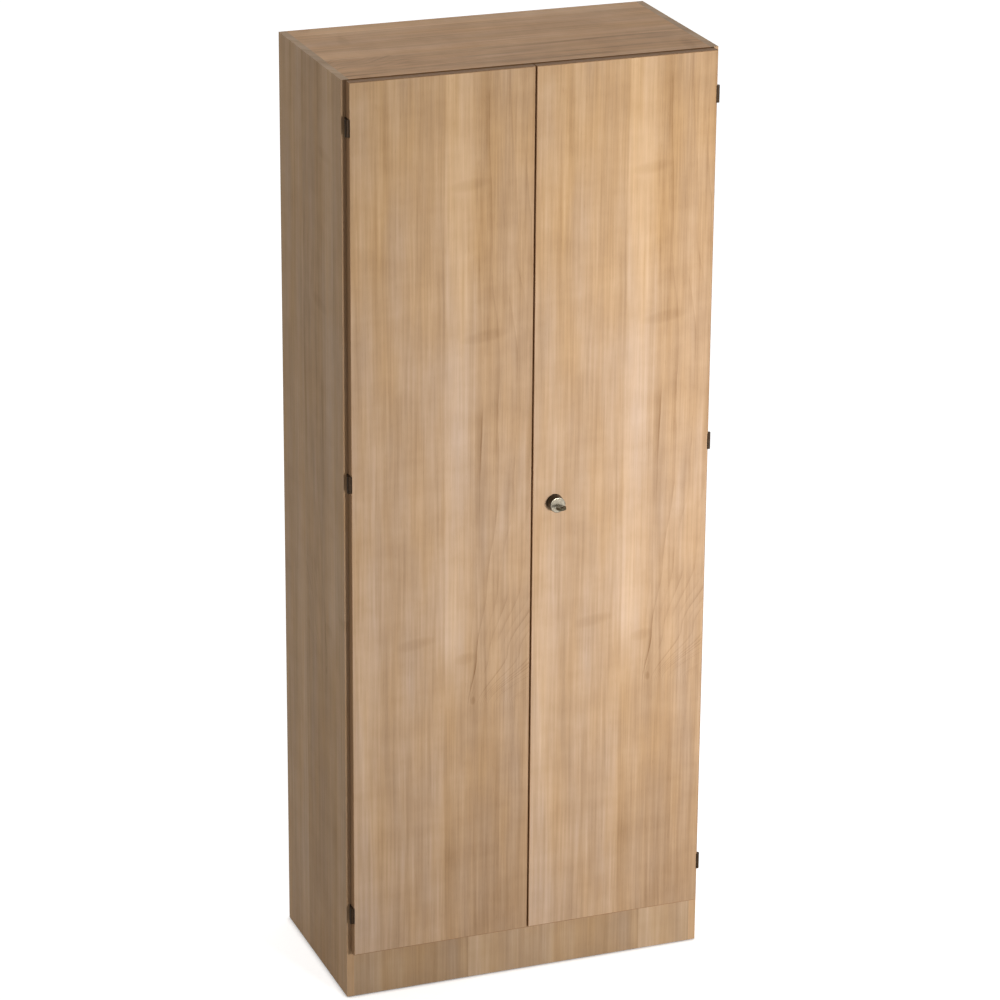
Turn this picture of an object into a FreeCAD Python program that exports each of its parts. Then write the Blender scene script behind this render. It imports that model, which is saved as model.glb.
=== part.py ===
# Tall office cabinet: a carcass with four shelves behind two hinged doors,
# and a key-driven rod lock on the right door.
# Frame: millimetres, +Z up, doors towards -Y, origin on the floor in the middle
# of the overall width and depth.

import FreeCAD
import Part
import Sketcher

import math
import os
import re

from FreeCAD import Rotation, Vector

# Driving dimensions in millimetres.
SIZES = {
    # carcass
    "width": 800,
    "depth": 399,
    "height": 2004,
    "side_thickness": 16,
    "top_thickness": 16,
    "bottom_thickness": 16,
    "back_thickness": 8,
    "back_inset": 12,
    "groove_depth": 6,
    "groove_play": 0.2,
    "plinth_top": 106,
    "plinth_thickness": 16,
    "glide_height": 2,
    "glide_radius": 7,
    "glide_pin_radius": 2.5,
    "glide_pin_length": 14,
    "glide_inset": 25,
    # shelves and their pins
    "shelf_thickness": 19,
    "shelf_setback": 30,
    "shelf_play": 0.5,
    "pin_hole_radius": 2.5,
    "pin_hole_depth": 10,
    "pin_hole_pitch": 32,
    "pin_drop": 4,
    "pin_column_inset": 62,
    "pin_tab_length": 9,
    "pin_tab_width": 9,
    "pin_tab_thickness": 2,
    # knock-down fittings
    "cam_radius": 7.5,
    "cam_depth": 12,
    "cam_backset": 34,
    "cam_column_inset": 90,
    "cam_slot_length": 9,
    "cam_slot_width": 2,
    "cam_slot_depth": 2,
    "bolt_radius": 3,
    "bolt_seat": 10,
    "bolt_neck_radius": 2,
    "bolt_head": 5,
    "dowel_radius": 4,
    "dowel_chamfer": 1,
    "dowel_length": 30,
    "dowel_spacing": 32,
    "fit_clearance": 0.05,
    # doors
    "door_thickness": 19,
    "door_gap": 2,
    "door_side_inset": 9,
    "door_top_inset": 1.5,
    "door_bottom_inset": 2,
    "meeting_gap": 3,
    "edge_band": 1.5,
    "band_round": 1,
    # hinges
    "hinge_height": 36,
    "hinge_end_distance": 92,
    "hinge_middle_height": 1167,
    "knuckle_radius": 4.5,
    "knuckle_middle": 15,
    "knuckle_play": 0.2,
    "hinge_pin_radius": 1.75,
    "hinge_pin_setback": 5,
    "leaf_thickness": 2,
    "leaf_clearance": 0.2,
    "leaf_margin": 1,
    "leaf_bend": 0.5,
    "flange_length": 38,
    "running_clearance": 0.05,
    "screw_radius": 1.6,
    "screw_head_radius": 3,
    "screw_length": 13,
    "screw_spread": 26,
    # rod lock
    "lock_offset": 50,
    "lock_height": 1075,
    "rosette_radius": 18,
    "rosette_taper": 1.5,
    "rosette_height": 20,
    "rosette_round": 1.5,
    "barrel_radius": 9.5,
    "barrel_lip": 0.6,
    "plug_radius": 6.5,
    "plug_tail_radius": 2.5,
    "gear_module": 1,
    "pinion_teeth": 12,
    "pressure_angle": 20,
    "lock_turn": 90,
    "tooth_addendum": 0.65,
    "tooth_dedendum": 0.95,
    "tooth_backlash": 0.2,
    "rod_width": 8,
    "rod_thickness": 5,
    "rod_standoff": 8,
    "rod_clearance": 3,
    "case_half_width": 17,
    "case_half_height": 30,
    "case_depth": 17,
    "case_wall": 1.5,
    "case_ear": 10,
    "case_corner": 4,
    "case_play": 0.3,
    "guide_width": 20,
    "guide_height": 14,
    "guide_wall": 2,
    "guide_ear": 8,
    "guide_round": 1.5,
    "guide_distance": 420,
    "guide_end_distance": 60,
    "strike_width": 40,
    "strike_depth": 20,
    "strike_thickness": 2,
    "strike_play": 1,
    "plate_corner": 2,
    # key
    "key_out": 28,
    "key_thickness": 2,
    "key_width": 8,
    "key_in": 28,
    "key_tip": 2,
    "key_play": 0.15,
    "cut_start": 5,
    "cut_pitch": 4,
    "cut_step": 0.3,
    "cut_flat": 1,
    "bow_radius": 10.5,
    "bow_length": 23,
    "bow_thickness": 5,
    "bow_round": 0.8,
    "bow_neck": 12,
    "bow_grip": 8,
    "bow_hole_radius": 2.5,
    "bow_hole_inset": 6,
    # catches and buffers
    "catch_offset": 110,
    "catch_length": 44,
    "catch_depth": 22,
    "catch_height": 14,
    "catch_ear": 9,
    "catch_ear_depth": 14,
    "catch_ear_thickness": 3,
    "catch_slot_width": 3.6,
    "catch_slot_length": 8,
    "pole_gap": 14,
    "pole_reach": 1.2,
    "plate_thickness": 1.5,
    "plate_margin": 2,
    "catch_gap": 0.3,
    "buffer_radius": 4,
    "buffer_offset": 30,
    "buffer_gap": 0.3,
}

# Places worked out from the driving dimensions.
PLACES = {
    "front_y": "(door_gap + door_thickness + rosette_height + key_out - depth) / 2",
    "rear_y": "front_y + depth",
    "door_back_y": "front_y - door_gap",
    "door_front_y": "door_back_y - door_thickness",
    "rosette_y": "door_front_y - rosette_height",
    "half_inside": "width / 2 - side_thickness",
    "back_y": "rear_y - back_inset - back_thickness",
    "floor_z": "plinth_top + bottom_thickness",
    "ceiling_z": "height - top_thickness",
    "shelf_bay": "(ceiling_z - floor_z - 4 * shelf_thickness) / 5",
    "shelf_front_y": "front_y + shelf_setback",
    "pin_front_y": "front_y + pin_column_inset",
    "pin_rear_y": "back_y - pin_column_inset",
    "cam_front_y": "front_y + cam_column_inset",
    "cam_rear_y": "back_y - cam_column_inset",
    "door_outer_x": "width / 2 - door_side_inset",
    "door_inner_x": "meeting_gap / 2",
    "door_low_z": "plinth_top + door_bottom_inset",
    "door_high_z": "height - door_top_inset",
    "axis_x": "door_outer_x + knuckle_radius - leaf_thickness",
    "axis_y": "door_front_y + hinge_pin_setback",
    "leaf_start": "knuckle_radius + leaf_thickness / 4",
    "leaf_face_x": "door_outer_x + leaf_clearance",
    "pitch_radius": "gear_module * pinion_teeth / 2",
    "rod_near": "pitch_radius - tooth_addendum",
    "rod_far": "rod_near + rod_width",
    "rod_front_y": "door_back_y + rod_standoff",
    "rod_mid_y": "rod_front_y + rod_thickness / 2",
    "rod_top_z": "ceiling_z - strike_thickness - rod_clearance",
    "rod_low_z": "floor_z + strike_thickness + rod_clearance",
    "rod_travel": "pitch_radius * pi * lock_turn / 180",
    "rod_tail": "rod_travel + pitch_radius + 2 * gear_module",
    "strike_bore": "rod_travel - strike_thickness - rod_clearance + 2 * strike_play",
    "key_end_y": "rosette_y - key_out",
}

doc = FreeCAD.newDocument("office_cabinet")
sheet = doc.addObject("Spreadsheet::Sheet", "sizes")
for row, (alias, value) in enumerate(SIZES.items(), start=1):
    sheet.set(f"A{row}", alias)
    sheet.set(f"B{row}", str(value))
    sheet.setAlias(f"B{row}", alias)
doc.recompute()

nodes = []
TOLERANCE = 0.01


def cells(text):
    """Write the names in a formula as the sheet's cells."""

    def swap(match):
        word = match.group()
        if word in PLACES:
            return f"({cells(PLACES[word])})"
        if word in SIZES:
            return f"sizes.{word}"
        return word

    return re.sub(r"[a-z]\w*", swap, str(text))


def number(text):
    """Read a formula's present value from the sheet."""
    return float(sheet.evalExpression(cells(text)))


def bind(item, name, text):
    item.setExpression(name, cells(text))


def span(low, high):
    return low, f"({high}) - ({low})"


def around(middle, whole, play="0"):
    """A stretch on both sides of its middle, with play at each end."""
    return span(f"{middle} - ({whole}) / 2 - {play}", f"{middle} + ({whole}) / 2 + {play}")


def sided(side, low, high):
    """A stretch of X given on the right, or its mirror image on the left."""
    if side > 0:
        return span(low, high)
    return span(f"-({high})", f"-({low})")


def node(item, label):
    """Name a finished piece, which is then written to a file of that name."""
    item.Label = label
    nodes.append(item)
    return item


def box(name, x, y, z):
    """A block from a (start, length) pair for each axis."""
    item = doc.addObject("Part::Box", name)
    for axis, edge, (start, length) in zip("xyz", ("Length", "Width", "Height"), (x, y, z)):
        bind(item, edge, length)
        bind(item, f"Placement.Base.{axis}", start)
    return item


# Turns that lay a piece made along +Z along another axis.
ALONG = {
    "+x": Rotation(Vector(0, 1, 0), 90),
    "-x": Rotation(Vector(0, 1, 0), -90),
    "+y": Rotation(Vector(1, 0, 0), -90),
    "-y": Rotation(Vector(1, 0, 0), 90),
    "+z": Rotation(),
}


def place(item, way, x, y, z):
    item.Placement = FreeCAD.Placement(Vector(), ALONG[way])
    for axis, text in zip("xyz", (x, y, z)):
        bind(item, f"Placement.Base.{axis}", text)
    return item


def bar(name, radius, length, way, x, y, z):
    """A round bar that starts at a point and runs one way."""
    item = doc.addObject("Part::Cylinder", name)
    bind(item, "Radius", radius)
    bind(item, "Height", length)
    return place(item, way, x, y, z)


def fuse(name, *items):
    item = doc.addObject("Part::MultiFuse", name)
    item.Shapes = list(items)
    return item


def group(name, items):
    """Identical loose pieces kept together as separate solids."""
    item = doc.addObject("Part::Compound", name)
    item.Links = list(items)
    return item


def cut(name, base, tools):
    item = doc.addObject("Part::Cut", name)
    item.Base = base
    item.Tool = tools[0] if len(tools) == 1 else group(f"{name}_cuts", tools)
    return item


def draw(body, role, points):
    """A closed sketch whose corners are tied to formulas."""
    sketch = body.newObject("Sketcher::SketchObject", f"{body.Name}_outline")
    plane = next(item for item in body.Origin.OriginFeatures if item.Role == role)
    sketch.AttachmentSupport = [(plane, "")]
    sketch.MapMode = "FlatFace"
    corners = [Vector(number(u), number(v), 0) for u, v in points]
    count = len(corners)
    for index in range(count):
        sketch.addGeometry(Part.LineSegment(corners[index], corners[(index + 1) % count]))
    for index, (u, v) in enumerate(points):
        following = (index + 1) % count
        sketch.addConstraint(Sketcher.Constraint("Coincident", index, 2, following, 1))
        for kind, text in (("DistanceX", u), ("DistanceY", v)):
            rule = Sketcher.Constraint(kind, -1, 1, index, 1, number(text))
            place_of_rule = sketch.addConstraint(rule)
            bind(sketch, f"Constraints[{place_of_rule}]", text)
    return sketch


def turned(name, points, way, x, y, z):
    """A turned piece from its (radius, height) half profile."""
    body = doc.addObject("PartDesign::Body", name)
    sketch = draw(body, "XZ_Plane", points)
    feature = body.newObject("PartDesign::Revolution", f"{name}_turn")
    feature.Profile = sketch
    feature.ReferenceAxis = (sketch, ["V_Axis"])
    feature.Angle = 360
    return place(body, way, x, y, z)


def pushed(name, points, length):
    """A flat outline in X and Y, pushed out along +Z."""
    body = doc.addObject("PartDesign::Body", name)
    sketch = draw(body, "XY_Plane", points)
    feature = body.newObject("PartDesign::Pad", f"{name}_pad")
    feature.Profile = sketch
    bind(feature, "Length", length)
    return body


def rounded(body, radius, chosen):
    """Round the edges of a body that a test picks out."""
    doc.recompute()
    form = body.Tip
    feature = body.newObject("PartDesign::Fillet", f"{body.Name}_round")
    edges = enumerate(form.Shape.Edges, start=1)
    feature.Base = (form, [f"Edge{order}" for order, edge in edges if chosen(edge)])
    bind(feature, "Radius", radius)
    return body


def upright(edge):
    return edge.BoundBox.ZLength > TOLERANCE


def level(edge):
    return not upright(edge)


def standing_at(corners):
    """A test for the upright edges at some corners of an outline."""
    spots = [Vector(number(x), number(y), 0) for x, y in corners]

    def chosen(edge):
        start = edge.Vertexes[0].Point
        foot = Vector(start.x, start.y, 0)
        return upright(edge) and any(foot.distanceToPoint(spot) < TOLERANCE for spot in spots)

    return chosen


def plate(name, width, height, thickness, way, x, y, z, corner=None, edging=None):
    """A plate centred on a point that stands out from it one way, with round corners or round edges."""
    corners = ((-1, -1), (1, -1), (1, 1), (-1, 1))
    body = pushed(name, [(f"{u} * ({width}) / 2", f"{v} * ({height}) / 2") for u, v in corners], thickness)
    if corner:
        rounded(body, corner, upright)
    if edging:
        rounded(body, edging, level)
    return place(body, way, x, y, z)


def screw(name, way, x, y, z, clearance="0"):
    """A countersunk screw whose flat head lies at the given point."""
    head = f"screw_head_radius + {clearance}"
    shank = f"screw_radius + {clearance}"
    points = [
        ("0", "0"),
        (head, "0"),
        (shank, "leaf_thickness - leaf_clearance"),
        (shank, f"screw_length + {clearance}"),
        ("0", f"screw_length + {clearance}"),
    ]
    return turned(name, points, way, x, y, z)


SIDES = {"left": -1, "right": 1}
HINGES = {
    "top": "door_high_z - hinge_end_distance",
    "middle": "hinge_middle_height",
    "bottom": "door_low_z + hinge_end_distance",
}
ADJUSTABLE = {"lower": 1, "middle": 3, "upper": 4}
FIXED_SHELF = 2


def shelf_z(place_from_floor):
    """Underside of a shelf, counted up from the cabinet floor."""
    return f"floor_z + {place_from_floor} * shelf_bay + {place_from_floor - 1} * shelf_thickness"


# Shelf pins: a round pin in the side panel and a flat tab under the shelf.

pins = []
pin_holes = {"left": [], "right": []}
for shelf in ADJUSTABLE.values():
    for column in ("pin_front_y", "pin_rear_y"):
        for side_name, side in SIDES.items():
            inward = "-x" if side > 0 else "+x"
            seat = f"{shelf_z(shelf)} - pin_drop"
            stem = bar(
                "pin_stem",
                "pin_hole_radius - fit_clearance",
                "pin_hole_depth - shelf_play + pin_tab_length",
                inward,
                f"{side} * (half_inside + pin_hole_depth - shelf_play)",
                column,
                seat,
            )
            tab = box(
                "pin_tab",
                sided(side, "half_inside - pin_tab_length", "half_inside"),
                span(f"{column} - pin_tab_width / 2", f"{column} + pin_tab_width / 2"),
                span(f"{shelf_z(shelf)} - pin_tab_thickness", shelf_z(shelf)),
            )
            pins.append(fuse("shelf_pin", stem, tab))
            for step in (-1, 0, 1):
                hole = bar(
                    "pin_hole",
                    "pin_hole_radius",
                    "pin_hole_depth",
                    "+x" if side > 0 else "-x",
                    f"{side} * half_inside",
                    column,
                    f"{seat} + {step} * pin_hole_pitch",
                )
                pin_holes[side_name].append(hole)
node(group("shelf_pins", pins), "shelf_pins")

# Knock-down fittings: a bolt in each side is drawn tight by a cam in the panel,
# and a dowel beside it keeps the panel in line.

cams = []
bolts = []
dowels = []
fitting_cuts = {"left": [], "right": [], "top": [], "bottom": [], "fixed": []}
JOINED = {
    "top": ("ceiling_z", "top_thickness"),
    "bottom": ("plinth_top", "bottom_thickness"),
    "fixed": (shelf_z(FIXED_SHELF), "shelf_thickness"),
}
CROSS = (("cam_slot_length", "cam_slot_width"), ("cam_slot_width", "cam_slot_length"))
bolt_run = "bolt_seat + cam_backset + bolt_radius"
bolt_profile = [
    ("0", "0"),
    ("bolt_radius", "0"),
    ("bolt_radius", "bolt_seat"),
    ("bolt_neck_radius", "bolt_seat"),
    ("bolt_neck_radius", f"{bolt_run} - bolt_head"),
    ("bolt_radius", f"{bolt_run} - bolt_head"),
    ("bolt_radius", bolt_run),
    ("0", bolt_run),
]
dowel_profile = [
    ("0", "0"),
    ("dowel_radius - dowel_chamfer", "0"),
    ("dowel_radius", "dowel_chamfer"),
    ("dowel_radius", "dowel_length - dowel_chamfer"),
    ("dowel_radius - dowel_chamfer", "dowel_length"),
    ("0", "dowel_length"),
]
for panel, (low_z, thickness) in JOINED.items():
    middle_z = f"{low_z} + {thickness} / 2"
    for column, towards_middle in (("cam_front_y", 1), ("cam_rear_y", -1)):
        for side_name, side in SIDES.items():
            inward = "-x" if side > 0 else "+x"
            cam_x = f"{side} * (half_inside - cam_backset)"
            bolt_start = f"{side} * (half_inside + bolt_seat)"
            dowel_start = f"{side} * (half_inside + dowel_length / 3)"
            dowel_y = f"{column} + {towards_middle} * dowel_spacing"
            bolts.append(turned("cam_bolt", bolt_profile, inward, bolt_start, column, middle_z))
            dowels.append(turned("dowel", dowel_profile, inward, dowel_start, dowel_y, middle_z))
            disc = bar("cam_disc", "cam_radius", "cam_depth", "+z", cam_x, column, low_z)
            slots = []
            for length, width in CROSS:
                slot_z = (low_z, "cam_slot_depth")
                slots.append(box("cam_slot", around(cam_x, length), around(column, width), slot_z))
            loose = "bolt_radius + fit_clearance"
            loose_run = f"{bolt_run} + fit_clearance"
            way_in = bar("bolt_way", loose, loose_run, inward, bolt_start, column, middle_z)
            cams.append(cut("cam", disc, [way_in] + slots))
            seat = bar(
                "cam_seat",
                "cam_radius + fit_clearance",
                "cam_depth + fit_clearance",
                "+z",
                cam_x,
                column,
                low_z,
            )
            dowel_way = bar(
                "dowel_way",
                "dowel_radius + fit_clearance",
                "dowel_length",
                inward,
                dowel_start,
                dowel_y,
                middle_z,
            )
            fitting_cuts[panel] += [way_in, seat, dowel_way]
            fitting_cuts[side_name] += [way_in, dowel_way]
node(group("cam_discs", cams), "cam_discs")
node(group("cam_bolts", bolts), "cam_bolts")
node(group("dowels", dowels), "dowels")

# Floor glides: a plastic disc under each corner, on a pin in the side panel.

glides = []
glide_holes = {"left": [], "right": []}
glide_profile = [
    ("0", "0"),
    ("glide_radius - glide_height / 2", "0"),
    ("glide_radius", "glide_height / 2"),
    ("glide_radius", "glide_height"),
    ("glide_pin_radius", "glide_height"),
    ("glide_pin_radius", "glide_height + glide_pin_length"),
    ("0", "glide_height + glide_pin_length"),
]
for side_name, side in SIDES.items():
    for glide_y in ("front_y + glide_inset", "rear_y - glide_inset"):
        glide_x = f"{side} * (width / 2 - side_thickness / 2)"
        glides.append(turned("floor_glide", glide_profile, "+z", glide_x, glide_y, "0"))
        hole = bar(
            "glide_hole",
            "glide_pin_radius + fit_clearance",
            "glide_pin_length + fit_clearance",
            "+z",
            glide_x,
            glide_y,
            "glide_height",
        )
        glide_holes[side_name].append(hole)
node(group("floor_glides", glides), "floor_glides")

# Hinges: the frame leaf is bent from sheet. It runs from the knuckles back beside
# the door's edge, turns in over the side panel's front edge and lies along its inner
# face. The door leaf is let into the door's edge. The pin is fixed in the frame
# leaf's two knuckles.

door_mortises = {"left": [], "right": []}
door_screw_holes = {"left": [], "right": []}
frame_recesses = {"left": [], "right": []}
frame_screws = []
door_screws = {"left": [], "right": []}
hinge_pins = {"left": [], "right": []}
for side_name, side in SIDES.items():
    inward = "-x" if side > 0 else "+x"
    outward = "+x" if side > 0 else "-x"
    axis_x = f"{side} * axis_x"
    strip_x = sided(side, "leaf_face_x", "leaf_face_x + leaf_thickness")
    plate_x = sided(side, "door_outer_x - leaf_thickness", "door_outer_x")
    for hinge_name, centre_z in HINGES.items():
        low_z = f"{centre_z} - hinge_height / 2"
        high_z = f"{centre_z} + hinge_height / 2"
        half_middle = "knuckle_middle / 2"
        full = span(low_z, high_z)
        middle = span(f"{centre_z} - {half_middle}", f"{centre_z} + {half_middle}")
        gap = f"({half_middle} + knuckle_play)"
        ends = (span(low_z, f"{centre_z} - {gap}"), span(f"{centre_z} + {gap}", high_z))
        bore = bar(
            "pin_bore",
            "hinge_pin_radius + running_clearance",
            "hinge_height",
            "+z",
            axis_x,
            "axis_y",
            low_z,
        )
        hinge_pins[side_name].append(
            bar("hinge_pin", "hinge_pin_radius", "hinge_height", "+z", axis_x, "axis_y", low_z)
        )

        # The frame leaf with its two end knuckles.
        recess_y = "front_y + leaf_thickness"
        leaf_corners = [
            ("leaf_face_x", "axis_y + leaf_start"),
            ("leaf_face_x + leaf_thickness", "axis_y + leaf_start"),
            ("leaf_face_x + leaf_thickness", recess_y),
            ("half_inside", recess_y),
            ("half_inside", "front_y + flange_length"),
            ("half_inside - leaf_thickness", "front_y + flange_length"),
            ("half_inside - leaf_thickness", "front_y"),
            ("leaf_face_x", "front_y"),
        ]
        leaf_corners = [(f"{side} * ({x})", y) for x, y in leaf_corners]
        bent = pushed("bent_leaf", leaf_corners, "hinge_height")
        rounded(bent, "leaf_bend", standing_at(leaf_corners[7:]))
        rounded(bent, "leaf_bend + leaf_thickness", standing_at((leaf_corners[2], leaf_corners[6])))
        bind(bent, "Placement.Base.z", low_z)
        pieces = [bent]
        for start, length in ends:
            pieces.append(bar("knuckle", "knuckle_radius", length, "+z", axis_x, "axis_y", start))
            pieces.append(box("leaf_root", strip_x, span("axis_y", "axis_y + leaf_start"), (start, length)))
        holes = [bore]
        for way_up in (-1, 1):
            screw_z = f"{centre_z} + {way_up} * screw_spread / 2"
            screw_y = "front_y + flange_length * 2 / 3"
            screw_x = f"{side} * (half_inside - leaf_thickness)"
            frame_screws.append(screw("frame_screw", outward, screw_x, screw_y, screw_z))
            screw_way = screw("screw_way", outward, screw_x, screw_y, screw_z, "fit_clearance")
            holes.append(screw_way)
            frame_recesses[side_name].append(screw_way)
        node(
            cut(f"{side_name}_{hinge_name}_frame", fuse("frame_leaf", *pieces), holes),
            f"{side_name}_{hinge_name}_frame_leaf",
        )
        recess = box(
            "leaf_recess",
            sided(side, "half_inside", "leaf_face_x + leaf_thickness + leaf_clearance"),
            span("front_y", recess_y),
            span(f"{low_z} - leaf_clearance", f"{high_z} + leaf_clearance"),
        )
        frame_recesses[side_name].append(recess)

        # The door leaf with its middle knuckle.
        plate_end = "door_back_y - leaf_margin"
        flat = box("leaf_plate", plate_x, span("axis_y + leaf_start", plate_end), full)
        knuckle = bar("knuckle", "knuckle_radius", middle[1], "+z", axis_x, "axis_y", middle[0])
        root = box("leaf_root", plate_x, span("axis_y", "axis_y + leaf_start"), middle)
        holes = [bore]
        for way_up in (-1, 1):
            screw_z = f"{centre_z} + {way_up} * screw_spread / 2"
            screw_y = f"(axis_y + leaf_start + {plate_end}) / 2"
            screw_x = f"{side} * door_outer_x"
            door_screws[side_name].append(screw("door_screw", inward, screw_x, screw_y, screw_z))
            screw_way = screw("screw_way", inward, screw_x, screw_y, screw_z, "fit_clearance")
            holes.append(screw_way)
            door_screw_holes[side_name].append(screw_way)
        node(
            cut(f"{side_name}_{hinge_name}_door", fuse("door_leaf", flat, root, knuckle), holes),
            f"{side_name}_{hinge_name}_door_leaf",
        )
        mortise = box(
            "leaf_mortise",
            sided(side, "door_outer_x - leaf_thickness", "door_outer_x"),
            span("door_front_y", "door_back_y"),
            span(f"{low_z} - leaf_clearance", f"{high_z} + leaf_clearance"),
        )
        door_mortises[side_name].append(mortise)
    node(group(f"{side_name}_pins", hinge_pins[side_name]), f"{side_name}_hinge_pins")
    node(group(f"{side_name}_screws", door_screws[side_name]), f"{side_name}_door_leaf_screws")
node(group("frame_screws", frame_screws), "frame_leaf_screws")

# Carcass panels. The thin back slides in a groove cut round the inside.

groove_y = span("back_y - groove_play / 2", "back_y + back_thickness + groove_play / 2")
groove_x = span("-(half_inside + groove_depth)", "half_inside + groove_depth")
back_groove = box(
    "back_groove",
    groove_x,
    groove_y,
    span("floor_z - groove_depth", "ceiling_z + groove_depth"),
)
whole_depth = span("front_y", "rear_y")
inside_width = span("-half_inside", "half_inside")
for side_name, side in SIDES.items():
    board = box(
        "side_board",
        sided(side, "half_inside", "width / 2"),
        whole_depth,
        span("glide_height", "height"),
    )
    tools = [back_groove]
    for holes in (pin_holes, fitting_cuts, glide_holes, frame_recesses):
        tools += holes[side_name]
    node(cut(f"{side_name}_side", board, tools), f"{side_name}_side_panel")

top_board = box("top_board", inside_width, whole_depth, span("ceiling_z", "height"))
bottom_board = box("bottom_board", inside_width, whole_depth, span("plinth_top", "floor_z"))
back_board = box(
    "back_board",
    span("-(half_inside + groove_depth - groove_play)", "half_inside + groove_depth - groove_play"),
    span("back_y", "back_y + back_thickness"),
    span("floor_z - groove_depth + groove_play", "ceiling_z + groove_depth - groove_play"),
)
node(back_board, "back_panel")

plinth_z = span("glide_height", "plinth_top")
node(box("plinth", inside_width, span("front_y", "front_y + plinth_thickness"), plinth_z), "plinth_board")
rear_rail_y = span("back_y + back_thickness - plinth_thickness", "back_y + back_thickness")
node(box("rail", inside_width, rear_rail_y, plinth_z), "rear_rail")

# Shelves: one is bolted to the sides, the others lie on pins.

shelf_y = span("shelf_front_y", "back_y - shelf_play")
for shelf_name, shelf in ADJUSTABLE.items():
    shelf_board = box(
        "shelf_board",
        span("-(half_inside - shelf_play)", "half_inside - shelf_play"),
        shelf_y,
        (shelf_z(shelf), "shelf_thickness"),
    )
    node(shelf_board, f"{shelf_name}_shelf")
fixed_board = box("fixed_board", inside_width, shelf_y, (shelf_z(FIXED_SHELF), "shelf_thickness"))
node(cut("fixed", fixed_board, fitting_cuts["fixed"]), "fixed_shelf")

# Magnet catches under the top panel pull on a steel plate on each door, and soft
# buffers keep the doors off the carcass. Two poles stand at each end of a catch's front,
# and slots in its ears let it be set to the door.

catch_front_y = "door_back_y + plate_thickness + catch_gap"
catch_y = f"{catch_front_y} + catch_depth / 2"
for side_name, side in SIDES.items():
    catch_x = f"{side} * catch_offset"
    housing = plate(
        "catch_housing",
        "catch_length - 2 * catch_ear",
        "catch_depth",
        "catch_height",
        "+z",
        catch_x,
        catch_y,
        "ceiling_z - catch_height",
        corner="plate_corner",
    )
    ear_spot = (catch_x, catch_y, "ceiling_z - catch_ear_thickness")
    ears = plate(
        "catch_ears",
        "catch_length",
        "catch_ear_depth",
        "catch_ear_thickness",
        "+z",
        *ear_spot,
        corner="plate_corner",
    )
    between_poles = box(
        "between_poles",
        around(catch_x, "pole_gap"),
        (catch_front_y, "pole_reach"),
        span("ceiling_z - catch_height", "ceiling_z"),
    )
    openings = [between_poles]
    for end in (-1, 1):
        opening = plate(
            "catch_slot",
            "catch_slot_width",
            "catch_slot_length",
            "catch_ear_thickness",
            "+z",
            f"{catch_x} + {end} * (catch_length - catch_ear) / 2",
            *ear_spot[1:],
            corner="catch_slot_width / 2 - fit_clearance",
        )
        openings.append(opening)
    node(cut("catch", fuse("catch_body", housing, ears), openings), f"{side_name}_magnet_catch")
    steel = plate(
        "catch_plate",
        "catch_length - 2 * plate_margin",
        "catch_height - 2 * plate_margin",
        "plate_thickness",
        "+y",
        catch_x,
        "door_back_y",
        "ceiling_z - catch_height / 2",
        corner="plate_corner",
    )
    node(steel, f"{side_name}_catch_plate")
    buffers = []
    for buffer_z in ("plinth_top + bottom_thickness / 2", "ceiling_z + top_thickness / 2"):
        profile = [
            ("0", "0"),
            ("buffer_radius", "0"),
            ("buffer_radius", "(door_gap - buffer_gap) / 2"),
            ("buffer_radius / 2", "door_gap - buffer_gap"),
            ("0", "door_gap - buffer_gap"),
        ]
        buffer_x = f"{side} * (door_inner_x + buffer_offset)"
        buffers.append(turned("door_buffer", profile, "+y", buffer_x, "door_back_y", buffer_z))
    node(group(f"{side_name}_buffers", buffers), f"{side_name}_door_buffers")

# Rod lock. The key turns a plug, whose pinion drives a rod up and a rod down.

rosette_profile = [
    ("barrel_radius + fit_clearance", "0"),
    ("rosette_radius", "0"),
    ("rosette_radius - rosette_taper", "rosette_height"),
    ("barrel_radius + fit_clearance", "rosette_height"),
]
rosette = turned("rosette", rosette_profile, "-y", "lock_offset", "door_front_y", "lock_height")


def front_rim(edge):
    reach = edge.BoundBox
    return reach.ZMin > 0 and reach.XMax > number("barrel_radius + rosette_round")


node(rounded(rosette, "rosette_round", front_rim), "lock_rosette")
barrel_length = "rosette_height + door_thickness + rod_standoff / 2"
barrel_profile = [
    ("plug_radius + running_clearance", "-barrel_lip"),
    ("barrel_radius - barrel_lip", "-barrel_lip"),
    ("barrel_radius", "0"),
    ("barrel_radius", barrel_length),
    ("plug_radius + running_clearance", barrel_length),
]
node(
    turned("barrel", barrel_profile, "+y", "lock_offset", "rosette_y", "lock_height"),
    "lock_barrel",
)
plug_length = "rosette_height + door_thickness + rod_standoff"
plug_end = "rosette_height + door_thickness + case_depth"
plug_profile = [
    ("0", "-barrel_lip"),
    ("plug_radius", "-barrel_lip"),
    ("plug_radius", plug_length),
    ("plug_tail_radius", plug_length),
    ("plug_tail_radius", plug_end),
    ("0", plug_end),
]
plug = turned("plug", plug_profile, "+y", "lock_offset", "rosette_y", "lock_height")
keyway = box(
    "keyway",
    ("lock_offset - key_width / 2 - key_play", "key_width + 2 * key_play"),
    ("rosette_y - barrel_lip", "key_in + barrel_lip + key_play"),
    ("lock_height - key_thickness / 2 - key_play", "key_thickness + 2 * key_play"),
)
node(cut("plug_cut", plug, [keyway]), "lock_plug")

# The lock case is a pressed pan with round corners and ears, open towards the door.

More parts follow.
